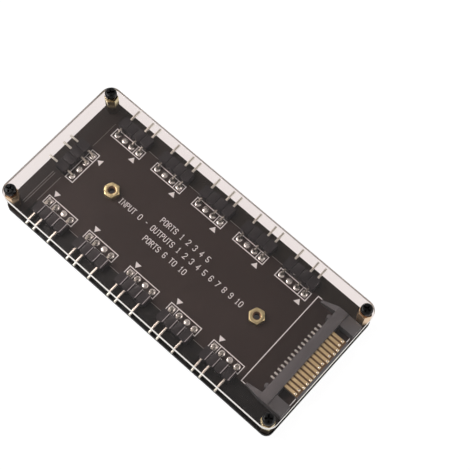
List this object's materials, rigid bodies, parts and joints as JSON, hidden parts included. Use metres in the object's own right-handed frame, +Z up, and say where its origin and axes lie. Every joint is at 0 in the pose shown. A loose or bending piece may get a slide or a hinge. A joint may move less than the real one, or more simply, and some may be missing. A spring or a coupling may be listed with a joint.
{
  "type": "lighting hub",
  "caption": "Flat hub: a black board of right-angle pin ports with a 15-way power plug at one end, under a clear plate on hex posts.",
  "frame": {"origin": "bottom centre of the hub's bounding box, on the plane of the base screw heads", "axes": "+X along the board towards the power plug, +Y across it, +Z up through the clear plate"},
  "size_m": [0.091, 0.0424, 0.0132],
  "materials": {
    "clear_acrylic": "polished clear acrylic",
    "board_mask": "black solder mask, satin",
    "black_plastic": "moulded, matt",
    "grey_plastic": "moulded, matt charcoal",
    "pin_gold": "thin gold flash",
    "contact_gold": "gold flash",
    "brass": "turned brass",
    "black_steel": "black oxide"
  },
  "bodies": {
    "root": {"base_screw_1": "black_steel", "base_screw_2": "black_steel", "base_screw_3": "black_steel", "base_screw_4": "black_steel", "circuit_board": "board_mask", "cover_screw_1": "black_steel", "cover_screw_2": "black_steel", "cover_screw_3": "black_steel", "cover_screw_4": "black_steel", "input_pins": "pin_gold", "input_shell": "black_plastic", "nut_left": "brass", "nut_right": "brass", "port_10_pins": "pin_gold", "port_10_shell": "black_plastic", "port_1_pins": "pin_gold", "port_1_shell": "black_plastic", "port_2_pins": "pin_gold", "port_2_shell": "black_plastic", "port_3_pins": "pin_gold", "port_3_shell": "black_plastic", "port_4_pins": "pin_gold", "port_4_shell": "black_plastic", "port_5_pins": "pin_gold", "port_5_shell": "black_plastic", "port_6_pins": "pin_gold", "port_6_shell": "black_plastic", "port_7_pins": "pin_gold", "port_7_shell": "black_plastic", "port_8_pins": "pin_gold", "port_8_shell": "black_plastic", "port_9_pins": "pin_gold", "port_9_shell": "black_plastic", "post_1": "brass", "post_2": "brass", "post_3": "brass", "post_4": "brass", "sata_contacts": "contact_gold", "sata_housing": "grey_plastic", "top_plate": "clear_acrylic"}
  },
  "joints": []
}
